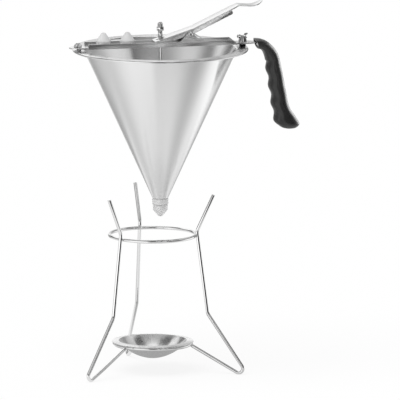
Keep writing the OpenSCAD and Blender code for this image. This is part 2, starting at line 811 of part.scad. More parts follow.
// Stations down the grip, from the strip's end on the bridge's underside: the back edge's place,
// the front edge's place, the share of the width. Their places scale with the grip's height.
stations = [
    [[2, 5], [5, -6.7], 0.98],
    [[10, 3.9], [9, -8.1], 1],
    [[18.5, -0.5], [12.3, -12.7], 1],
    [[27.8, -11.7], [15, -22.2], 1],
    [[32.5, -28.7], [16.2, -31.7], 1],
    [[37.5, -54.7], [19.8, -55.7], 1],
    [[42, -75.2], [22.9, -76.7], 1],
    [[49, -86.2], [24.6, -86.7], 0.98],
    [[54, -95.1], [26.7, -93.7], 0.92],
    [[50.5, -99.9], [33, -99.1], 0.6],
    [[45, -101.3], [39, -101.1], 0.2]
];
drawn_h = stations[0][0][1] - stations[len(stations) - 1][0][1];
// Heights of the top and the bottom bump, drawn likewise
bump_top = -28.7;
bump_end = -91.7;
grip_scale = grip_h / drawn_h;
grip_origin = [strip_end_x, bridge_z];
grip_steps = 4;
grip_sides = 20;

// A smooth value at t between the second and third of four
function blend(p, q, r, s, t) =
    0.5 * (2 * q + (r - p) * t + (2 * p - 5 * q + 4 * r - s) * t * t + (3 * q - p - 3 * r + s) * t * t * t);

// How far a bump stands out at height z under the bridge
function bump(z) =
    let (top = bump_top * grip_scale, end = bump_end * grip_scale)
    z > top + finger_pitch / 2 || z < end - finger_pitch / 4 ? 0
    : finger_bump * cos(360 * (top - z) / finger_pitch);

// A station at a share of the way down the list
function station(s) =
    let (
        i = min(floor(s), len(stations) - 2),
        t = s - i,
        q = stations[i],
        r = stations[i + 1],
        p = i > 0 ? stations[i - 1] : 2 * q - r,
        u = i < len(stations) - 2 ? stations[i + 2] : 2 * r - q,
        back = grip_scale * blend(p[0], q[0], r[0], u[0], t),
        front = grip_scale * blend(p[1], q[1], r[1], u[1], t),
        wide = blend(p[2], q[2], r[2], u[2], t)
    )
    [grip_origin + back, grip_origin + front - [bump(front[1]), 0], wide * grip_half_w];

// The points of a rounded section between a back and a front point
function section(s, inset) =
    let (
        mid = (s[0] + s[1]) / 2,
        half = (s[0] - s[1]) / 2,
        shrink = 1 - inset / norm(half),
        wide = s[2] - inset
    )
    [for (k = [0 : grip_sides - 1])
        let (
            c = cos(360 * k / grip_sides),
            n = sin(360 * k / grip_sides),
            q = mid + shrink * half * sign(c) * pow(abs(c), 0.8)
        )
        [q[0], wide * sign(n) * pow(abs(n), 0.8), q[1]]];

module grip() {
    last = (len(stations) - 1) * grip_steps;
    socket = 1.5 * grip_steps;
    outside = [for (i = [last : -1 : 0]) section(station(i / grip_steps), 0)];
    inside = [for (i = [0 : socket]) section(station(i / grip_steps), grip_wall)];
    color(black) held() skin(concat(outside, inside));
}

// The insert that holds the tang in the grip's socket
module grip_insert() {
    color(steel) held() difference() {
        skin([for (i = [grip_steps : -1 : 1]) section(station(i / grip_steps), grip_wall + fixed_gap)]);
        translate([strip_end_x - tang_l, -tang_w / 2 - fixed_gap, bridge_z - fixed_gap])
            cube([2 * tang_l + fixed_gap, tang_w + 2 * fixed_gap, bridge_t + 2 * fixed_gap]);
    }
}

right_leg();
back_leg();
left_leg();
upper_ring();
lower_ring();
drip_bowl();
funnel_cone();
outlet_ferrule();
outlet_collar();
bridge();
left_stud();
right_stud();
left_spacer();
right_spacer();
cap_nut();
wing_nut();
pivot_rivet();
lever();
lever_spring();
grip();
grip_insert();
valve_rod();
rod_sleeve();
dome_nut();
jam_nut();
valve_plug();
nozzle();
spare_nozzle_left();
spare_nozzle_right();
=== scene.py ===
"""Batter dispenser: a steel funnel with a lever valve, over its wire stand with a drip bowl."""

from math import copysign, cos, pi, radians, sin, tan

import bmesh
import bpy
from mathutils import Matrix, Vector


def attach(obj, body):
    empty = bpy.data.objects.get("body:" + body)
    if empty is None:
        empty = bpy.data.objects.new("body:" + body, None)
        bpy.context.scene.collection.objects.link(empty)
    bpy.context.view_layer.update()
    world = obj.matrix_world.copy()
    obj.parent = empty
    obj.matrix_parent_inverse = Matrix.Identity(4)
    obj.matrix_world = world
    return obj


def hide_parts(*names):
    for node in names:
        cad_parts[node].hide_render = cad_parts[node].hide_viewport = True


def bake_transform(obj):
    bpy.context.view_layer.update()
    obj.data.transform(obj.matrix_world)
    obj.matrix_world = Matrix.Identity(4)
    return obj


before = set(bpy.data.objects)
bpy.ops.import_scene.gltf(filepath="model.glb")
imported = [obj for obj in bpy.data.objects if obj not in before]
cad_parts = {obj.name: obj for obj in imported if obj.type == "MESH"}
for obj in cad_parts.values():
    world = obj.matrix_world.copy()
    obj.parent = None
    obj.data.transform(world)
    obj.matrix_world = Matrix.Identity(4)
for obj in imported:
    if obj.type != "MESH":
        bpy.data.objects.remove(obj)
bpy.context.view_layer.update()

MM = 0.001
# Vertices that lie closer than this, in metres, are made one
MERGE = 1e-7

# --- Sizes of the pieces that are made here, in millimetres ---

# Wire stand: the path of a leg as (distance from the axis, height) of the prong's tip, the
# prong's bend, the knee, the foot and the strut's end under the drip bowl; then its bends' radii
WIRE_R, WIRE_END_ROUNDING = 2.0, 0.4
LEG_PATH = [(71.98, 207.9), (52.37, 165.16), (65.0, 69.7), (117.4, -7.35), (45.89, 31.78)]
LEG_BENDS = [0, 12, 12, 5, 0]
LEG_TURNS = {"right_leg": -25.85, "back_leg": 94.15, "left_leg": -145.85}
# The rings as (radius, height)
RINGS = {"upper_ring": (49.5, 158.9), "lower_ring": (44.4, 32.6)}

# Drip bowl; the floor's radius is that of the corner with the wall, before it is rounded off
BOWL_RIM_Z, BOWL_DEPTH, BOWL_SHEET = 36.19, 20.0, 0.8
BOWL_FLOOR_R, BOWL_MOUTH_R, BOWL_FLANGE_R = 24.62, 39.1, 47.0

# Funnel, on its own axis; the profiles are measured from its outlet
FUNNEL_X, OUTLET_Z, OUTLET_R = 9.0, 201.406, 9.0
CONE_H, MOUTH_R, SHEET = 174.4, 89.0, 1.0
CONE_SLOPE, CONE_LEAN = (MOUTH_R - OUTLET_R) / CONE_H, radians(24.64)
RIM_R, BEAD_R = 101.2, 1.3

# Fits: pressed or glued, turning or sliding, and between faces that rest on each other
FIXED_GAP, FREE_GAP, SEAT_GAP = 0.02, 0.08, 0.25

# Outlet and nozzles
SEAT_R, SEAT_RISE, FERRULE_R = 6.0, 0.6, 7.0
LIP_H, LIP_SHEET = 3.0, 0.3
COLLAR_H, COLLAR_R = 7.1, 9.3
NOZZLE_R, NOZZLE_WALL, SKIRT_H, TIP_R = 8.4, 1.0, 6.3, 2.9
MOUTH_BORE_H, SOCKET_TAPER_H = 2.4, 0.8
NOZZLE_CONE_H, SPARE_CONE_H = 7.4, 9.0
THREAD_L = SKIRT_H - NOZZLE_WALL - SEAT_GAP
THREAD_START, THREAD_PITCH, THREAD_TURNS, THREAD_DEPTH = 0.8, 1.25, 3, 0.25

# Bridge, and the places of the spare nozzles along it
BRIDGE_Z, BRIDGE_SHEET = OUTLET_Z + CONE_H + 2.4, 1.5
SPARE_X = {"left": -66.5, "right": -38.5}

# Spring round the rivet: the wire, the coil, and each leg's length and direction in degrees
PIVOT = (32.9 + FUNNEL_X, BRIDGE_Z + 14.0)
SPRING_WIRE_R, COIL_R, COIL_W, COIL_TURNS = 0.5, 2.9, 6.0, 5
BRIDGE_LEG_L, BRIDGE_LEG_TURN = 26.2, 57
LEVER_LEG_L, LEVER_LEG_TURN = 24.8, -53

# Grip, from the end of the bridge's strip: the back edge's place, the front edge's place, the
# share of the width
GRIP_PLACE = (109.0 + FUNNEL_X, BRIDGE_Z)
GRIP_HALF_W, GRIP_WALL = 13.0, 2.0
GRIP_STATIONS = [
    ((2, 5), (5, -6.7), 0.98), ((10, 3.9), (9, -8.1), 1), ((18.5, -0.5), (12.3, -12.7), 1),
    ((27.8, -11.7), (15, -22.2), 1), ((32.5, -28.7), (16.2, -31.7), 1),
    ((37.5, -54.7), (19.8, -55.7), 1), ((42, -75.2), (22.9, -76.7), 1),
    ((49, -86.2), (24.6, -86.7), 0.98), ((54, -95.1), (26.7, -93.7), 0.92),
    ((50.5, -99.9), (33, -99.1), 0.6), ((45, -101.3), (39, -101.1), 0.2),
]
# The section's roundness, from 0, a box, to 1, an oval
GRIP_ROUNDNESS = 0.8
# How much narrower its finger side is, where that starts, and how far on it is complete, on a
# scale from the back's middle, 1, to the front's, -1
FINGER_SIDE_CUT, STEP_START, STEP_SPAN = 0.09, -0.1, 0.25
# Ridges between the fingers: the heights of the first and the last, their pitch, and how far
# they stand out
RIDGE_TOP, RIDGE_END, RIDGE_PITCH, RIDGE_OUT = -31.0, -91.0, 20.0, 1.2


# --- Materials ---

def linear(hex_colour):
    """A colour written as sRGB hex, as linear RGBA."""
    values = [int(hex_colour[i:i + 2], 16) / 255 for i in (1, 3, 5)]
    return [v / 12.92 if v <= 0.04045 else ((v + 0.055) / 1.055) ** 2.4 for v in values] + [1.0]


def add_node(tree, kind, settings=None, links=None):
    """Adds a node. Settings are its properties' or sockets' values, links its sockets' sources."""
    node = tree.nodes.new(kind)
    for key, value in (settings or {}).items():
        if isinstance(key, str) and hasattr(node, key):
            setattr(node, key, value)
        else:
            node.inputs[key].default_value = value
    for key, source in (links or {}).items():
        tree.links.new(source, node.inputs[key])
    return node


def new_material(name):
    """A material with an empty tree and its output."""
    material = bpy.data.materials.new(name)
    material.use_nodes = True
    material.node_tree.nodes.clear()
    output = add_node(material.node_tree, "ShaderNodeOutputMaterial")
    return material, material.node_tree, output


def spun_stainless():
    """Stainless sheet, spun on a lathe and ground round the axis. The fine rings spread each
    reflection up and down the wall, so light and dark stand on it as soft bands from rim to
    outlet."""
    material, tree, output = new_material("spun_satin_stainless")
    place = add_node(tree, "ShaderNodeTexCoord").outputs["Object"]
    axes = add_node(tree, "ShaderNodeSeparateXYZ", links={0: place})
    # Grinding rings, drawn 0.8 mm apart: the real ones, 0.1 mm apart, are too fine to show
    rings = add_node(tree, "ShaderNodeTexNoise",
                     {"noise_dimensions": "1D", "Scale": 1250.0, "Detail": 4.0},
                     {"W": axes.outputs["Z"]}).outputs["Fac"]
    # Slow waves that the forming roller leaves, about 25 mm long
    waves = add_node(tree, "ShaderNodeTexNoise", {"Scale": 40.0, "Detail": 1.0},
                     {"Vector": place}).outputs["Fac"]
    gloss = add_node(tree, "ShaderNodeMapRange",
                     {"From Min": 0.3, "From Max": 0.7, "To Min": 0.21, "To Max": 0.24},
                     {"Value": rings})
    tone = add_node(tree, "ShaderNodeMix",
                    {"data_type": "RGBA", "A": linear("#e1e1e1"), "B": linear("#e7e7e7")},
                    {0: rings})
    low = add_node(tree, "ShaderNodeBump", {"Strength": 0.01, "Distance": 0.0004},
                   {"Height": waves})
    bump = add_node(tree, "ShaderNodeBump", {"Strength": 0.04, "Distance": 0.00002},
                    {"Height": rings, "Normal": low.outputs["Normal"]})
    round_axis = add_node(tree, "ShaderNodeTangent", {"direction_type": "RADIAL", "axis": "Z"})
    shader = add_node(tree, "ShaderNodeBsdfPrincipled",
                      {"Metallic": 1.0, "Anisotropic": 0.95, "Anisotropic Rotation": 0.25},
                      {"Base Color": tone.outputs[2], "Roughness": gloss.outputs[0],
                       "Normal": bump.outputs["Normal"], "Tangent": round_axis.outputs[0]})
    tree.links.new(shader.outputs[0], output.inputs["Surface"])
    return material


def brushed_stainless():
    """Stainless sheet brushed along its length before it was cut and bent. The fine lines along
    the bridge and the lever give it an even satin grey."""
    material, tree, output = new_material("brushed_stainless_sheet")
    place = add_node(tree, "ShaderNodeTexCoord").outputs["Object"]
    # Brush lines 0.5 mm apart and 60 mm long, drawn coarser than the real 0.1 mm to show
    along = add_node(tree, "ShaderNodeMapping", {"Scale": (15.0, 2000.0, 2000.0)},
                     {"Vector": place})
    lines = add_node(tree, "ShaderNodeTexNoise", {"Scale": 1.0, "Detail": 3.0},
                     {"Vector": along.outputs[0]}).outputs["Fac"]
    gloss = add_node(tree, "ShaderNodeMapRange",
                     {"From Min": 0.3, "From Max": 0.7, "To Min": 0.24, "To Max": 0.31},
                     {"Value": lines})
    tone = add_node(tree, "ShaderNodeMix",
                    {"data_type": "RGBA", "A": linear("#dedede"), "B": linear("#e8e8e8")},
                    {0: lines})
    bump = add_node(tree, "ShaderNodeBump", {"Strength": 0.05, "Distance": 0.00002},
                    {"Height": lines})
    along_x = add_node(tree, "ShaderNodeCombineXYZ", {"X": 1.0})
    shader = add_node(tree, "ShaderNodeBsdfPrincipled",
                      {"Metallic": 1.0, "Anisotropic": 0.8, "Anisotropic Rotation": 0.25},
                      {"Base Color": tone.outputs[2], "Roughness": gloss.outputs[0],
                       "Normal": bump.outputs["Normal"], "Tangent": along_x.outputs[0]})
    tree.links.new(shader.outputs[0], output.inputs["Surface"])
    return material


def polished_stainless():
    """Drawn stainless wire and turned nuts, tumbled and polished: sharp bright and dark
    reflections, with the faint unevenness that tumbling leaves."""
    material, tree, output = new_material("polished_stainless")
    place = add_node(tree, "ShaderNodeTexCoord").outputs["Object"]
    # Unevenness about 4 mm long
    uneven = add_node(tree, "ShaderNodeTexNoise", {"Scale": 250.0, "Detail": 2.0},
                      {"Vector": place}).outputs["Fac"]
    gloss = add_node(tree, "ShaderNodeMapRange",
                     {"From Min": 0.3, "From Max": 0.7, "To Min": 0.05, "To Max": 0.09},
                     {"Value": uneven})
    tone = add_node(tree, "ShaderNodeMix",
                    {"data_type": "RGBA", "A": linear("#e2e2e2"), "B": linear("#e9e9e9")},
                    {0: uneven})
    bump = add_node(tree, "ShaderNodeBump", {"Strength": 0.04, "Distance": 0.0001},
                    {"Height": uneven})
    shader = add_node(tree, "ShaderNodeBsdfPrincipled", {"Metallic": 1.0},
                      {"Base Color": tone.outputs[2], "Roughness": gloss.outputs[0],
                       "Normal": bump.outputs["Normal"]})
    tree.links.new(shader.outputs[0], output.inputs["Surface"])
    return material


def natural_polypropylene():
    """Uncoloured polypropylene, injection moulded: milky, and clear enough for light to soak in,
    so it looks pale grey with a soft gloss and darker edges."""
    material, tree, output = new_material("natural_polypropylene")
    place = add_node(tree, "ShaderNodeTexCoord").outputs["Object"]
    # Flow clouds about 3 mm across
    clouds = add_node(tree, "ShaderNodeTexNoise", {"Scale": 350.0, "Detail": 2.0},
                      {"Vector": place}).outputs["Fac"]
    tone = add_node(tree, "ShaderNodeMix",
                    {"data_type": "RGBA", "A": linear("#e4e4e4"), "B": linear("#ececec")},
                    {0: clouds})
    gloss = add_node(tree, "ShaderNodeMapRange", {"To Min": 0.18, "To Max": 0.28},
                     {"Value": clouds})
    shader = add_node(tree, "ShaderNodeBsdfPrincipled",
                      {"IOR": 1.49, "Subsurface Weight": 0.3,
                       "Subsurface Radius": (0.0015, 0.0015, 0.0015), "Subsurface Scale": 1.0,
                       "Transmission Weight": 0.15},
                      {"Base Color": tone.outputs[2], "Roughness": gloss.outputs[0]})
    tree.links.new(shader.outputs[0], output.inputs["Surface"])
    return material


def black_polypropylene():
    """Black polypropylene, moulded in a lightly eroded mould: semi-matt, with a fine even
    grain."""
    material, tree, output = new_material("black_moulded_polypropylene")
    place = add_node(tree, "ShaderNodeTexCoord").outputs["Object"]
    # Mould grain 0.5 mm across, drawn coarser than the real 0.1 mm to show
    grain = add_node(tree, "ShaderNodeTexNoise", {"Scale": 2000.0, "Detail": 2.0},
                     {"Vector": place}).outputs["Fac"]
    # Slight changes of gloss, about 12 mm across, where the mould cooled unevenly
    patches = add_node(tree, "ShaderNodeTexNoise", {"Scale": 80.0, "Detail": 1.0},
                       {"Vector": place}).outputs["Fac"]
    gloss = add_node(tree, "ShaderNodeMapRange",
                     {"From Min": 0.3, "From Max": 0.7, "To Min": 0.34, "To Max": 0.42},
                     {"Value": patches})
    tone = add_node(tree, "ShaderNodeMix",
                    {"data_type": "RGBA", "A": linear("#181818"), "B": linear("#222222")},
                    {0: grain})
    bump = add_node(tree, "ShaderNodeBump", {"Strength": 0.10, "Distance": 0.00005},
                    {"Height": grain})
    shader = add_node(tree, "ShaderNodeBsdfPrincipled", {"IOR": 1.5},
                      {"Base Color": tone.outputs[2], "Roughness": gloss.outputs[0],
                       "Normal": bump.outputs["Normal"]})
    tree.links.new(shader.outputs[0], output.inputs["Surface"])
    return material


def black_rubber():
    """A cut washer of black rubber: matt, with a dusty bloom."""
    material, tree, output = new_material("black_rubber")
    place = add_node(tree, "ShaderNodeTexCoord").outputs["Object"]
    # Bloom in specks about 1 mm across
    bloom = add_node(tree, "ShaderNodeTexNoise", {"Scale": 900.0, "Detail": 2.0},
                     {"Vector": place}).outputs["Fac"]
    tone = add_node(tree, "ShaderNodeMix",
                    {"data_type": "RGBA", "A": linear("#1d1d1d"), "B": linear("#2f2f2f")},
                    {0: bloom})
    bump = add_node(tree, "ShaderNodeBump", {"Strength": 0.2, "Distance": 0.00005},
                    {"Height": bloom})
    shader = add_node(tree, "ShaderNodeBsdfPrincipled", {"IOR": 1.52, "Roughness": 0.75},
                      {"Base Color": tone.outputs[2], "Normal": bump.outputs["Normal"]})
    tree.links.new(shader.outputs[0], output.inputs["Surface"])
    return material


def white_acetal():
    """White acetal, turned from rod: matt white with fine turning rings."""
    material, tree, output = new_material("white_turned_acetal")
    place = add_node(tree, "ShaderNodeTexCoord").outputs["Object"]
    axes = add_node(tree, "ShaderNodeSeparateXYZ", links={0: place})
    # Turning marks 0.4 mm apart
    rings = add_node(tree, "ShaderNodeTexNoise",
                     {"noise_dimensions": "1D", "Scale": 2500.0, "Detail": 1.0},
                     {"W": axes.outputs["Z"]}).outputs["Fac"]
    tone = add_node(tree, "ShaderNodeMix",
                    {"data_type": "RGBA", "A": linear("#e6e6e0"), "B": linear("#f0f0ec")},
                    {0: rings})
    bump = add_node(tree, "ShaderNodeBump", {"Strength": 0.15, "Distance": 0.00003},
                    {"Height": rings})
    shader = add_node(tree, "ShaderNodeBsdfPrincipled", {"IOR": 1.48, "Roughness": 0.45},
                      {"Base Color": tone.outputs[2], "Normal": bump.outputs["Normal"]})
    tree.links.new(shader.outputs[0], output.inputs["Surface"])
    return material


SPUN = spun_stainless()
BRUSHED = brushed_stainless()
POLISHED = polished_stainless()
NATURAL_PP = natural_polypropylene()
BLACK_PP = black_polypropylene()
RUBBER = black_rubber()
ACETAL = white_acetal()


# --- Making pieces ---

def make_piece(name, shape, material, body, *nodes, sharp=30):
    """Turns a finished bmesh into a piece that rides on a body and stands for CAD nodes. Edges
    sharper than an angle in degrees stay sharp. A piece with no body is left unattached."""
    mesh = bpy.data.meshes.new(name)
    shape.to_mesh(mesh)
    shape.free()
    mesh.shade_smooth()
    mesh.set_sharp_from_angle(angle=radians(sharp))
    mesh.materials.append(material)
    piece = bpy.data.objects.new(name, mesh)
    bpy.context.scene.collection.objects.link(piece)
    if body:
        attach(piece, body)
    if nodes:
        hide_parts(*nodes)
    return piece


def turned(profile, base, x=0.0, steps=96, upside_down=False):
    """A solid turned about a vertical axis at x, in mm, from a closed profile of (radius, height
    over the base, rounding), where a rounding is how far the corner is cut back along each side."""
    shape = bmesh.new()
    corners = [shape.verts.new((r * MM, 0, z * MM)) for r, z, _ in profile]
    shape.faces.new(corners)
    for corner, (_, _, rounding) in zip(corners, profile):
        if rounding:
            # Five segments for each millimetre, within reason
            segments = max(3, min(24, round(rounding * 5)))
            bmesh.ops.bevel(shape, geom=[corner], offset=rounding * MM, offset_type="OFFSET",
                            segments=segments, profile=0.5, affect="VERTICES", material=-1)
    bmesh.ops.delete(shape, geom=shape.faces[:], context="FACES_ONLY")
    on_axis = [e for e in shape.edges if all(abs(v.co.x) < MERGE for v in e.verts)]
    bmesh.ops.delete(shape, geom=on_axis, context="EDGES")
    bmesh.ops.spin(shape, geom=shape.verts[:] + shape.edges[:], cent=(0, 0, 0), axis=(0, 0, 1),
                   angle=2 * pi, steps=steps, use_merge=True, use_duplicate=False)
    bmesh.ops.remove_doubles(shape, verts=shape.verts[:], dist=MERGE)
    if upside_down:
        bmesh.ops.rotate(shape, verts=shape.verts[:], cent=(0, 0, 0),
                         matrix=Matrix.Rotation(pi, 3, "X"))
    bmesh.ops.recalc_face_normals(shape, faces=shape.faces[:])
    bmesh.ops.translate(shape, verts=shape.verts[:], vec=(x * MM, 0, base * MM))
    return shape


def refined(node, soften):
    """A merged copy of a CAD node's mesh, its flat faces made whole and its sharp edges softened
    by an amount in mm."""
    coarse_merge, flat, sharp = 2e-6, radians(0.6), radians(28)
    shape = bmesh.new()
    shape.from_mesh(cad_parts[node].data)
    bmesh.ops.remove_doubles(shape, verts=shape.verts[:], dist=coarse_merge)
    bmesh.ops.dissolve_limit(shape, angle_limit=flat, verts=shape.verts[:], edges=shape.edges[:])
    edges = [e for e in shape.edges if len(e.link_faces) == 2 and e.calc_face_angle(0) > sharp]
    if soften:
        bmesh.ops.bevel(shape, geom=edges, offset=soften * MM, offset_type="OFFSET", segments=2,
                        profile=0.5, affect="EDGES", clamp_overlap=True, material=-1)
    return shape


def wire_start(shape, place, heading, radius, sides):
    """A round end face of a wire at a place, square to its heading. Returns the face in a list."""
    ring = bmesh.ops.create_circle(shape, cap_ends=True, segments=sides,
                                   radius=radius * MM)["verts"]
    turn = Vector((0, 0, 1)).rotation_difference(heading).to_matrix()
    bmesh.ops.rotate(shape, verts=ring, cent=(0, 0, 0), matrix=turn)
    bmesh.ops.translate(shape, verts=ring, vec=place)
    return list(shape.faces)


def wire_run(shape, front, step):
    """Pushes a wire's end face straight on by a step. Returns the new end face in a list."""
    grown = bmesh.ops.extrude_face_region(shape, geom=front)["geom"]
    bmesh.ops.translate(shape, verts=[v for v in grown if isinstance(v, bmesh.types.BMVert)],
                        vec=step)
    return [f for f in grown if isinstance(f, bmesh.types.BMFace)]


def wire_bend(shape, front, centre, axis, angle, steps, climb=(0, 0, 0)):
    """Bends a wire's end face round an axis. Returns the new end face in a list."""
    made = bmesh.ops.spin(shape, geom=front, cent=centre, axis=axis, angle=angle, steps=steps,
                          dvec=climb, use_duplicate=False)["geom_last"]
    return [f for f in made if isinstance(f, bmesh.types.BMFace)]


def wire_finish(shape, rounding):
    """Closes a wire and rounds the rims of its two ends by an amount in mm. Returns the wire."""
    bmesh.ops.remove_doubles(shape, verts=shape.verts[:], dist=MERGE)
    # The end faces that a run or a bend leaves inside the wire
    inner = [f for f in shape.faces
             if len(f.verts) > 4 and all(len(e.link_faces) > 2 for e in f.edges)]
    bmesh.ops.delete(shape, geom=inner, context="FACES_ONLY")
    bmesh.ops.recalc_face_normals(shape, faces=shape.faces[:])
    rims = [e for f in shape.faces if len(f.verts) > 4 for e in f.edges]
    bmesh.ops.bevel(shape, geom=rims, offset=rounding * MM, offset_type="OFFSET", segments=3,
                    profile=0.5, affect="EDGES", clamp_overlap=True, material=-1)
    return shape


# --- Stand ---

def bent_leg(turn):
    """A leg of the stand: one wire, bent at the prong, the knee and the foot, turned about the
    axis by an angle in degrees."""
    shape = bmesh.new()
    points = [Vector((r * MM, 0, z * MM)) for r, z in LEG_PATH]
    here = points[0]
    front = wire_start(shape, here, (points[1] - here).normalized(), WIRE_R, sides=32)
    for i in range(1, len(points) - 1):
        into = (points[i] - points[i - 1]).normalized()
        out = (points[i + 1] - points[i]).normalized()
        angle, axis, bend = into.angle(out), into.cross(out).normalized(), LEG_BENDS[i] * MM
        stop = points[i] - into * bend * tan(angle / 2)
        front = wire_run(shape, front, stop - here)
        centre = stop + axis.cross(into) * bend
        # A step for each 5 degrees
        steps = max(4, round(angle / radians(5)))
        front = wire_bend(shape, front, centre, axis, angle, steps)
        here = centre + Matrix.Rotation(angle, 3, axis) @ (stop - centre)
    wire_run(shape, front, points[-1] - here)
    wire_finish(shape, WIRE_END_ROUNDING)
    bmesh.ops.rotate(shape, verts=shape.verts[:], cent=(0, 0, 0),
                     matrix=Matrix.Rotation(radians(turn), 3, "Z"))
    return shape


def wire_ring(radius, height):
    """A level ring of wire round the stand's axis, its ends butted and welded flush."""
    shape = bmesh.new()
    bmesh.ops.create_circle(shape, segments=28, radius=WIRE_R * MM)
    bmesh.ops.rotate(shape, verts=shape.verts[:], cent=(0, 0, 0),
                     matrix=Matrix.Rotation(pi / 2, 3, "X"))
    bmesh.ops.translate(shape, verts=shape.verts[:], vec=(radius * MM, 0, height * MM))
    bmesh.ops.spin(shape, geom=shape.verts[:] + shape.edges[:], cent=(0, 0, 0), axis=(0, 0, 1),
                   angle=2 * pi, steps=144, use_merge=True, use_duplicate=False)
    bmesh.ops.remove_doubles(shape, verts=shape.verts[:], dist=MERGE)
    bmesh.ops.recalc_face_normals(shape, faces=shape.faces[:])
    return shape


for leg, turn in LEG_TURNS.items():
    make_piece("wire_" + leg, bent_leg(turn), POLISHED, "stand", leg, sharp=40)
for ring, (radius, height) in RINGS.items():
    make_piece("wire_" + ring, wire_ring(radius, height), POLISHED, "stand", ring, sharp=60)

# The bowl is a slice of a ball with a flat flange that falls a little to its edge: the corner
# between floor and wall is cut back nearly to the axis, which leaves one arc
bowl = turned([
    (0, -BOWL_DEPTH, 0), (BOWL_FLOOR_R, -BOWL_DEPTH, 24.6), (BOWL_MOUTH_R, 0, 0.5),
    (BOWL_FLANGE_R, -BOWL_SHEET, 0.35), (BOWL_FLANGE_R, -2 * BOWL_SHEET, 0.35),
    (BOWL_MOUTH_R + 0.5, -BOWL_SHEET, 0.6), (25.1, -BOWL_DEPTH - BOWL_SHEET, 25.0),
    (0, -BOWL_DEPTH - BOWL_SHEET, 0),
], BOWL_RIM_Z, steps=128)
make_piece("pressed_drip_bowl", bowl, SPUN, "bowl", "drip_bowl", sharp=40)


# --- Funnel ---

# The sheet's thickness measured level, across the leaning wall
wall_across = SHEET / cos(CONE_LEAN)
# How far a bend of radius 1 mm between the wall and the level flange cuts the corner back
cut_back = tan((pi / 2 - CONE_LEAN) / 2)
# The bead's corners take nearly its whole radius, so that a short edge is left between them
bead_rounding = 0.99 * BEAD_R
cone = turned([
    (OUTLET_R, 0, 0.2),
    (OUTLET_R + CONE_SLOPE * (CONE_H - SHEET), CONE_H - SHEET, 2 * cut_back),
    (RIM_R - 2 * BEAD_R, CONE_H - SHEET, 0.15),
    (RIM_R - 2 * BEAD_R, CONE_H - 2 * BEAD_R, bead_rounding),
    (RIM_R, CONE_H - 2 * BEAD_R, bead_rounding),
    (RIM_R, CONE_H, bead_rounding),
    (OUTLET_R - wall_across + CONE_SLOPE * CONE_H, CONE_H, 3 * cut_back),
    (OUTLET_R - wall_across, 0, 0.2),
], OUTLET_Z, FUNNEL_X, steps=192)
make_piece("spun_funnel_cone", cone, SPUN, "funnel", "funnel_cone", sharp=40)


def threaded_ferrule():
    """The ferrule: a tube with a flared lip in the cone's tip, the valve's seat at its top, and
    the thread that the nozzle screws on: a ridge that climbs round its lower part."""
    lip_r = OUTLET_R - wall_across - FIXED_GAP
    lip_top_r = lip_r + CONE_SLOPE * LIP_H
    thread_end, core_r = -COLLAR_H - THREAD_L, FERRULE_R - THREAD_DEPTH
    shape = turned([
        (SEAT_R, thread_end, 0.2), (core_r, thread_end, 0.2), (core_r, -COLLAR_H - 0.4, 0),
        (FERRULE_R, -COLLAR_H, 0), (FERRULE_R, -SEAT_GAP, 0.1), (lip_r, 0, 0.1),
        (lip_top_r, LIP_H, 0), (lip_top_r - LIP_SHEET, LIP_H, 0), (SEAT_R, SEAT_RISE, 0.3),
    ], OUTLET_Z, FUNNEL_X)
    # The ridge's section as (out from the ferrule's radius, up), sunk a little in the core
    start_r, start_z, steps = FUNNEL_X + FERRULE_R, OUTLET_Z + thread_end + THREAD_START, 48
    section = shape.faces.new([shape.verts.new(((start_r + r) * MM, 0, (start_z + z) * MM))
                               for r, z in [(-0.3, -0.5), (-0.03, 0.0), (-0.3, 0.5)]])
    bmesh.ops.spin(shape, geom=[section], cent=(FUNNEL_X * MM, 0, 0), axis=(0, 0, 1),
                   angle=THREAD_TURNS * 2 * pi, dvec=(0, 0, THREAD_PITCH * MM / steps),
                   steps=steps * THREAD_TURNS, use_duplicate=False)
    bmesh.ops.recalc_face_normals(shape, faces=shape.faces[:])
    return shape


make_piece("flared_outlet_ferrule", threaded_ferrule(), SPUN, "funnel", "outlet_ferrule")

collar_bore_r, collar_top = FERRULE_R + FIXED_GAP, COLLAR_H - SEAT_GAP
collar = turned([(collar_bore_r, 0, 0.1), (COLLAR_R, 0, 0.5), (COLLAR_R, collar_top, 0.8),
                 (collar_bore_r, collar_top, 0.1)], OUTLET_Z - COLLAR_H, FUNNEL_X)
make_piece("moulded_outlet_collar", collar, NATURAL_PP, "funnel", "outlet_collar")


def moulded_nozzle(cone_h, base, x, upside_down=False):
    """A screw-on nozzle: a round skirt and a cone that ends in a small round mouth."""
    top, socket_r, socket_h = SKIRT_H + cone_h, FERRULE_R + FREE_GAP, THREAD_L + SEAT_GAP
    mouth_r = TIP_R - NOZZLE_WALL
    return turned([
        (socket_r, 0, 0.1), (NOZZLE_R, 0, 0.2), (NOZZLE_R, SKIRT_H, 0.35),
        (TIP_R - 0.1, top - 0.65, 0.35), (mouth_r + 0.2, top, 0.25), (mouth_r, top, 0.05),
        (mouth_r, top - MOUTH_BORE_H, 0), (SEAT_R, socket_h + SOCKET_TAPER_H, 0),
        (socket_r, socket_h, 0),
    ], base, x, upside_down=upside_down)


nozzle = moulded_nozzle(NOZZLE_CONE_H, OUTLET_Z - COLLAR_H - SEAT_GAP, FUNNEL_X, upside_down=True)
make_piece("moulded_nozzle", nozzle, NATURAL_PP, "tip", "nozzle")
for side, x in SPARE_X.items():
    spare = moulded_nozzle(SPARE_CONE_H, BRIDGE_Z + BRIDGE_SHEET + SEAT_GAP, FUNNEL_X + x)
    make_piece("moulded_spare_nozzle_" + side, spare, NATURAL_PP, side + "_spare",
               "spare_nozzle_" + side)


# --- Grip ---

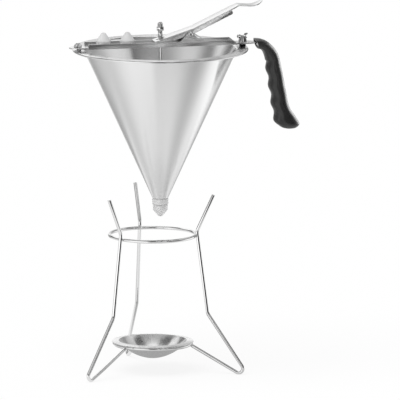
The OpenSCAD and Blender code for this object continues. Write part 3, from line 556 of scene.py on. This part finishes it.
def smooth_value(values, share):
    """A value on the smooth curve through a list, at a share counted in items."""
    i = min(int(share), len(values) - 2)
    t = share - i
    q, r = values[i], values[i + 1]
    p = values[i - 1] if i > 0 else 2 * q - r
    s = values[i + 2] if i < len(values) - 2 else 2 * r - q
    return 0.5 * (2 * q + (r - p) * t + (2 * p - 5 * q + 4 * r - s) * t * t
                  + (3 * q - p - 3 * r + s) * t ** 3)


def grip_loop(ring, share, inset):
    """Lays a ring of vertices on the grip's section at a share of the way down its stations, and
    in from its outside by an inset in mm."""
    back = smooth_value([Vector(s[0]) for s in GRIP_STATIONS], share)
    front = smooth_value([Vector(s[1]) for s in GRIP_STATIONS], share)
    wide = smooth_value([s[2] for s in GRIP_STATIONS], share) * GRIP_HALF_W - inset
    if RIDGE_END - RIDGE_PITCH / 4 < front.y < RIDGE_TOP + RIDGE_PITCH / 2:
        front.x -= RIDGE_OUT * cos(2 * pi * (RIDGE_TOP - front.y) / RIDGE_PITCH)
    middle, half = (back + front) / 2, (back - front) / 2
    half *= 1 - inset / half.length
    for i, vertex in enumerate(ring):
        c, n = cos(2 * pi * i / len(ring)), sin(2 * pi * i / len(ring))
        # Outside, the finger side is narrower than the back, with a soft step between them
        step = 0.0 if inset else max(0.0, min(1.0, (STEP_START - c) / STEP_SPAN))
        narrow = 1 - FINGER_SIDE_CUT * step * step * (3 - 2 * step)
        place = middle + half * copysign(abs(c) ** GRIP_ROUNDNESS, c)
        across = wide * narrow * copysign(abs(n) ** GRIP_ROUNDNESS, n)
        vertex.co = Vector((GRIP_PLACE[0] + place.x, across, GRIP_PLACE[1] + place.y)) * MM


def moulded_grip():
    """The grip, lofted from its closed lower end to its mouth and back down into its socket."""
    shape = bmesh.new()
    last, rings_a_station, socket_rings = len(GRIP_STATIONS) - 1, 8, 13
    shares = [(last - i / rings_a_station, 0) for i in range(rings_a_station * last + 1)]
    shares += [(i / rings_a_station, GRIP_WALL) for i in range(socket_rings)]
    ring = bmesh.ops.create_circle(shape, cap_ends=True, segments=48, radius=MM)["verts"]
    grip_loop(ring, *shares[0])
    edges = shape.edges[:]
    for share in shares[1:]:
        grown = bmesh.ops.extrude_edge_only(shape, edges=edges)["geom"]
        edges = [g for g in grown if isinstance(g, bmesh.types.BMEdge)]
        fresh = {v for e in edges for v in e.verts}
        # The new ring's vertices in the old ring's order
        ring = [next(e.other_vert(v) for e in v.link_edges if e.other_vert(v) in fresh)
                for v in ring]
        grip_loop(ring, *share)
    bmesh.ops.holes_fill(shape, edges=edges, sides=64)
    bmesh.ops.recalc_face_normals(shape, faces=shape.faces[:])
    # The mouth's rim is made of the sharp edges at the grip's upper end
    top_z, sharp = (BRIDGE_Z - 12) * MM, radians(50)
    mouth = [e for e in shape.edges if len(e.link_faces) == 2 and e.calc_face_angle(0) > sharp
             and min(v.co.z for v in e.verts) > top_z]
    bmesh.ops.bevel(shape, geom=mouth, offset=0.5 * MM, offset_type="OFFSET", segments=3,
                    profile=0.5, affect="EDGES", clamp_overlap=True, material=-1)
    return shape


grip = make_piece("moulded_grip", moulded_grip(), BLACK_PP, "funnel", "grip", sharp=50)


# --- Spring ---

coil_centre = Vector((PIVOT[0], 0, PIVOT[1])) * MM


def torsion_spring():
    """The spring round the rivet: a straight leg down to the bridge, the coil, and a leg up to
    the lever."""
    shape = bmesh.new()
    start, end = radians(BRIDGE_LEG_TURN), radians(LEVER_LEG_TURN)
    heading = Vector((cos(start + pi / 2), 0, sin(start + pi / 2)))
    leg = BRIDGE_LEG_L * MM * heading
    first = coil_centre + Vector((COIL_R * cos(start), -COIL_W / 2, COIL_R * sin(start))) * MM
    front = wire_start(shape, first - leg, heading, SPRING_WIRE_R, sides=12)
    front = wire_run(shape, front, leg)
    steps = 30 * COIL_TURNS
    front = wire_bend(shape, front, coil_centre, (0, -1, 0), 2 * pi * COIL_TURNS + end - start,
                      steps, climb=(0, COIL_W * MM / steps, 0))
    wire_run(shape, front, LEVER_LEG_L * MM * Vector((cos(end + pi / 2), 0, sin(end + pi / 2))))
    return wire_finish(shape, rounding=0.1)


# On the real dispenser the lower leg stays with the bridge and the upper leg goes down with the
# lever, the coil turning between; here the spring is one piece that rides on no body
spring = make_piece("wound_lever_spring", torsion_spring(), POLISHED, None, "lever_spring",
                    sharp=50)
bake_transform(spring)


# --- Pieces that keep their CAD shape, with softened edges ---

for node, body, material, soften in [
    ("bridge", "funnel", BRUSHED, 0.25),
    ("left_stud", "funnel", POLISHED, 0.2),
    ("right_stud", "funnel", POLISHED, 0.2),
    ("left_spacer", "funnel", NATURAL_PP, 0.2),
    ("right_spacer", "funnel", RUBBER, 0.2),
    ("cap_nut", "funnel", POLISHED, 0.2),
    ("wing_nut", "wing", POLISHED, 0.4),
    ("pivot_rivet", "funnel", POLISHED, 0.15),
    ("lever", "lever", BRUSHED, 0.25),
    ("grip_insert", "funnel", BRUSHED, 0.0),
    ("valve_rod", "valve", POLISHED, 0.0),
    ("rod_sleeve", "valve", POLISHED, 0.2),
    ("dome_nut", "valve", POLISHED, 0.2),
    ("jam_nut", "valve", POLISHED, 0.2),
    ("valve_plug", "valve", ACETAL, 0.2),
]:
    make_piece(node + "_finish", refined(node, soften), material, body, node, sharp=35)


# --- Studio: backdrop, floor, light tent, card, lamps, camera; in metres ---

AZIMUTH, ELEVATION, DISTANCE = radians(-12.2), radians(9.5), 20.0
# The camera's square view: its width, and its middle to the right of and above the origin
VIEW_W, VIEW_RIGHT, VIEW_UP = 0.46, 0.0544, 0.1965
SENSOR_MM = 36

ROOM_TONE = 0.55
# The share of glow in the floor's white; the rest is lit, and takes the object's shadow
FLOOR_GLOW = 0.85

TENT_R, TENT_H = 1.2, 2.4
# A ramp holds tones up to 1, so the tent's are divided by this and its light is this strong
TENT_STRENGTH = 4.0
# The tone of the floor's middle, under the stand: a painted shadow, standing for the shade under
# the drip bowl that the bowl's underside reflects
TENT_PAINTED_SHADOW_TONE = 0.12
# The tent's panels, each over the one before: what it is measured by, where it begins and where
# it has taken over, and its tones by the degrees to the right of the camera's side
TENT_PANELS = [
    # The floor, from outside the drip bowl
    ("radius", 0.06, 0.09, [
        (-180, 0.80), (-160, 0.98), (-145, 1.05), (-130, 1.00), (-114, 0.76), (-99, 0.70),
        (-78, 0.92), (-62, 0.96), (-45, 0.95), (-29, 0.94), (-12, 0.97), (37, 0.99), (46, 0.92),
        (57, 0.76), (66, 0.66), (75, 0.66), (87, 0.80), (98, 0.99), (108, 1.05), (123, 0.96),
        (140, 0.74), (150, 0.64), (160, 0.60), (180, 0.80)]),
    # The outer floor, and the foot of the wall
    ("radius", 0.36, 0.46, [
        (-180, 1.10), (-168, 1.00), (-155, 0.40), (-122, 0.75), (-97, 0.75), (-70, 1.10),
        (-45, 1.60), (-14, 1.60), (-6, 0.10), (10, 0.04), (65, 0.04), (78, 0.35), (88, 0.80),
        (100, 1.20), (128, 1.30), (140, 1.00), (155, 0.45), (164, 0.50), (172, 1.00),
        (180, 1.10)]),
    # The middle of the wall
    ("height", 0.22, 0.34, [
        (-180, 0.75), (-168, 1.10), (-158, 0.90), (-148, 0.10), (-125, 0.06), (-86, 0.40),
        (-50, 0.55), (-20, 0.40), (-4, 0.06), (13, 0.06), (16, 1.00), (21.5, 1.00), (23, 0.10),
        (23.8, 0.10), (25, 0.70), (26.5, 1.10), (33, 1.10), (37, 0.06), (60, 0.06), (105, 0.12),
        (120, 0.30), (150, 0.35), (166, 0.65), (180, 0.75)]),
    # The upper wall
    ("height", 0.68, 0.84, [
        (-180, 0.80), (-170, 1.50), (-160, 1.45), (-140, 0.95), (-124, 1.30), (-112, 0.80),
        (-104, 0.24), (-94, 0.30), (-80, 0.64), (-68, 1.00), (-55, 1.05), (-42, 0.96),
        (-30, 0.73), (-15, 0.42), (0, 0.22), (17, 0.22), (35, 0.14), (55, 0.05), (60, 1.00),
        (74, 1.15), (101, 0.97), (125, 0.70), (160, 0.60), (180, 0.80)]),
    # The top of the wall, and the ceiling
    ("height", 1.45, 1.6, [
        (-180, 1.60), (-158, 1.60), (-146, 0.04), (-80, 0.04), (-55, 0.50), (55, 0.50),
        (80, 0.04), (146, 0.04), (158, 1.60), (180, 1.60)]),
]

CARD_W, CARD_H, CARD_PLACE, CARD_STRENGTH = 0.27, 0.12, (0.115, -0.30, 0.36), 3.0
# The card's tones by their place along X, and the tone above a height, with its soft edge
CARD_TONES = [(-0.02, 0.70), (0.018, 0.45), (0.038, 0.04), (0.060, 0.04), (0.082, 0.22),
              (0.105, 0.42), (0.125, 0.80), (0.18, 0.90)]
CARD_TOP_TONE, CARD_TOP_START, CARD_TOP_END = 0.05, 0.346, 0.354


def grey(tone):
    """A tone as an RGBA colour."""
    return tone, tone, tone, 1


def stage_object(name, shape, material, only_reflected=False):
    """A part of the studio, which isn't part of the object. Some parts only reflections see."""
    mesh = bpy.data.meshes.new(name)
    shape.to_mesh(mesh)
    shape.free()
    mesh.materials.append(material)
    stage = bpy.data.objects.new(name, mesh)
    bpy.context.scene.collection.objects.link(stage)
    if only_reflected:
        stage.visible_camera = stage.visible_diffuse = False
        stage.visible_shadow = stage.visible_transmission = False


def backdrop_ray(tree):
    """1 for what the camera sees, straight, in metal or through glass."""
    path = add_node(tree, "ShaderNodeLightPath")
    seen = add_node(tree, "ShaderNodeMath", {"operation": "ADD", "use_clamp": True},
                    {0: path.outputs["Is Camera Ray"], 1: path.outputs["Is Glossy Ray"]})
    return add_node(tree, "ShaderNodeMath", {"operation": "ADD", "use_clamp": True},
                    {0: seen.outputs[0], 1: path.outputs["Is Transmission Ray"]}).outputs[0]


world = bpy.data.worlds.new("studio")
world.use_nodes = True
bpy.context.scene.world = world
sky = world.node_tree
sky.nodes.clear()
room = add_node(sky, "ShaderNodeBackground", {"Color": grey(ROOM_TONE), "Strength": 1.0})
paper = add_node(sky, "ShaderNodeBackground", {"Color": grey(1), "Strength": 1.0})
mixed = add_node(sky, "ShaderNodeMixShader",
                 links={0: backdrop_ray(sky), 1: room.outputs[0], 2: paper.outputs[0]})
add_node(sky, "ShaderNodeOutputWorld", links={"Surface": mixed.outputs[0]})


def white_paper():
    """White paper: lit, so that the object's shadow falls on it, and mostly glowing where the
    camera sees it, so that it stays white."""
    material, tree, output = new_material("white_paper_floor")
    matt = add_node(tree, "ShaderNodeBsdfDiffuse", {"Color": grey(0.95)})
    glow = add_node(tree, "ShaderNodeEmission", {"Color": grey(1), "Strength": 1.0})
    share = add_node(tree, "ShaderNodeMath", {"operation": "MULTIPLY", 1: FLOOR_GLOW},
                     {0: backdrop_ray(tree)})
    both = add_node(tree, "ShaderNodeMixShader",
                    links={0: share.outputs[0], 1: matt.outputs[0], 2: glow.outputs[0]})
    tree.links.new(both.outputs[0], output.inputs["Surface"])
    return material


floor_shape = bmesh.new()
bmesh.ops.create_grid(floor_shape, x_segments=1, y_segments=1, size=20.0)
stage_object("floor", floor_shape, white_paper())


def tone_ramp(tree, angle, stops):
    """Tones round the object, as (degrees to the right of the camera's side, tone), from -180 to
    180. The ramp starts where the angle's gradient does, so the tone there is worked out."""
    ramp = add_node(tree, "ShaderNodeValToRGB", links={"Fac": angle})
    stops = sorted(((0.25 + (AZIMUTH + radians(a)) / (2 * pi)) % 1.0, t) for a, t in stops[:-1])
    (p0, t0), (p1, t1) = stops[-1], stops[0]
    seam = t0 + (t1 - t0) * (1 - p0) / (1 - p0 + p1)
    elements = ramp.color_ramp.elements
    elements[0].position, elements[1].position = 0.0, 1.0
    elements[0].color = elements[1].color = grey(seam / TENT_STRENGTH)
    for position, tone in stops:
        elements.new(position).color = grey(tone / TENT_STRENGTH)
    return ramp.outputs["Color"]


def tent_cloth():
    """The cloth of a light tent that only reflections see: white panels with grey and black ones
    between them, in rings on its floor and up its wall. The middle of its floor is dark, a painted
    shadow under the stand."""
    material, tree, output = new_material("light_tent_cloth")
    place = add_node(tree, "ShaderNodeTexCoord").outputs["Object"]
    angle = add_node(tree, "ShaderNodeTexGradient", {"gradient_type": "RADIAL"},
                     {"Vector": place}).outputs["Fac"]
    level = add_node(tree, "ShaderNodeVectorMath", {"operation": "MULTIPLY", 1: (1, 1, 0)},
                     {0: place})
    measures = {
        "radius": add_node(tree, "ShaderNodeVectorMath", {"operation": "LENGTH"},
                           {0: level.outputs["Vector"]}).outputs["Value"],
        "height": add_node(tree, "ShaderNodeSeparateXYZ", links={0: place}).outputs["Z"],
    }
    # The floor's middle starts dark: a painted shadow under the stand
    tone = add_node(tree, "ShaderNodeRGB").outputs[0]
    tone.default_value = grey(TENT_PAINTED_SHADOW_TONE)
    for measure, start, end, stops in TENT_PANELS:
        step = add_node(tree, "ShaderNodeMapRange", {"From Min": start, "From Max": end},
                        {"Value": measures[measure]})
        panel = tone_ramp(tree, angle, stops)
        tone = add_node(tree, "ShaderNodeMix", {"data_type": "RGBA"},
                        {0: step.outputs[0], "A": tone, "B": panel}).outputs[2]
    shine = add_node(tree, "ShaderNodeEmission", {"Strength": TENT_STRENGTH}, {"Color": tone})
    tree.links.new(shine.outputs[0], output.inputs["Surface"])
    return material


# The tent stands half a millimetre over the floor, which it would otherwise coincide with
tent_shape = bmesh.new()
base = bmesh.ops.create_circle(tent_shape, cap_ends=True, segments=96, radius=TENT_R)["verts"]
bmesh.ops.translate(tent_shape, verts=base, vec=(0, 0, 0.5 * MM))
grown = bmesh.ops.extrude_edge_only(tent_shape, edges=tent_shape.edges[:])["geom"]
bmesh.ops.translate(tent_shape, verts=[v for v in grown if isinstance(v, bmesh.types.BMVert)],
                    vec=(0, 0, TENT_H))
bmesh.ops.holes_fill(tent_shape, sides=0,
                     edges=[e for e in grown if isinstance(e, bmesh.types.BMEdge)])
stage_object("light_tent", tent_shape, tent_cloth(), only_reflected=True)


def graded_card():
    """A card in front of the bridge that only reflections see: black before the lever and its
    lugs, grey to the left, and paler to the right. Its upper part is dark, for the lever's
    side."""
    material, tree, output = new_material("graded_card")
    place = add_node(tree, "ShaderNodeTexCoord").outputs["Object"]
    axes = add_node(tree, "ShaderNodeSeparateXYZ", links={0: place})
    (left, left_tone), *between, (right, right_tone) = CARD_TONES
    across = add_node(tree, "ShaderNodeMapRange", {"From Min": left, "From Max": right},
                      {"Value": axes.outputs["X"]})
    ramp = add_node(tree, "ShaderNodeValToRGB", links={"Fac": across.outputs[0]})
    elements = ramp.color_ramp.elements
    elements[0].color, elements[1].color = grey(left_tone), grey(right_tone)
    for x, tone in between:
        elements.new((x - left) / (right - left)).color = grey(tone)
    upper = add_node(tree, "ShaderNodeMapRange",
                     {"From Min": CARD_TOP_START, "From Max": CARD_TOP_END},
                     {"Value": axes.outputs["Z"]})
    tone = add_node(tree, "ShaderNodeMix", {"data_type": "RGBA", "B": grey(CARD_TOP_TONE)},
                    {0: upper.outputs[0], "A": ramp.outputs[0]})
    shine = add_node(tree, "ShaderNodeEmission", {"Strength": CARD_STRENGTH},
                     {"Color": tone.outputs[2]})
    tree.links.new(shine.outputs[0], output.inputs["Surface"])
    return material


card_shape = bmesh.new()
bmesh.ops.create_grid(card_shape, x_segments=1, y_segments=1, size=0.5)
bmesh.ops.scale(card_shape, verts=card_shape.verts[:], vec=(CARD_W, CARD_H, 1))
bmesh.ops.rotate(card_shape, verts=card_shape.verts[:], cent=(0, 0, 0),
                 matrix=Matrix.Rotation(pi / 2, 3, "X"))
bmesh.ops.translate(card_shape, verts=card_shape.verts[:], vec=CARD_PLACE)
stage_object("graded_card", card_shape, graded_card(), only_reflected=True)

# A soft box to the right of the grip and behind it, for the grip alone: it draws the long
# highlight down its back
box = bpy.data.lights.new("grip_soft_box", "AREA")
box.shape, box.size, box.size_y, box.energy = "RECTANGLE", 0.8, 0.7, 9.5
soft_box = bpy.data.objects.new("grip_soft_box", box)
soft_box.location = (0.92, 0.39, 0.45)
grip_middle = Vector((0.14, 0, 0.33))
soft_box.rotation_euler = (grip_middle - soft_box.location).to_track_quat("-Z", "Z").to_euler()
bpy.context.scene.collection.objects.link(soft_box)
lit = bpy.data.collections.new("lit_by_the_grip_soft_box")
lit.objects.link(grip)
soft_box.light_linking.receiver_collection = lit

# A broad soft lamp above the camera's left shoulder
lamp = bpy.data.lights.new("overhead", "SUN")
lamp.energy = 1.7
lamp.angle = radians(50)
overhead = bpy.data.objects.new("overhead", lamp)
overhead.rotation_euler = Vector((0.35, 0.25, -1)).to_track_quat("-Z", "Y").to_euler()
bpy.context.scene.collection.objects.link(overhead)
overhead.visible_glossy = False

right = Vector((cos(AZIMUTH), sin(AZIMUTH), 0))
toward_camera = Vector((sin(AZIMUTH) * cos(ELEVATION), -cos(AZIMUTH) * cos(ELEVATION),
                        sin(ELEVATION)))
up = toward_camera.cross(right)
lens = bpy.data.cameras.new("camera")
lens.sensor_width = SENSOR_MM
lens.lens = SENSOR_MM * DISTANCE / VIEW_W
lens.clip_end = 10 * DISTANCE
camera = bpy.data.objects.new("camera", lens)
camera.location = VIEW_RIGHT * right + VIEW_UP * up + DISTANCE * toward_camera
camera.rotation_euler = (-toward_camera).to_track_quat("-Z", "Y").to_euler()
bpy.context.scene.collection.objects.link(camera)
bpy.context.scene.camera = camera
bpy.context.scene.view_settings.view_transform = "Standard"
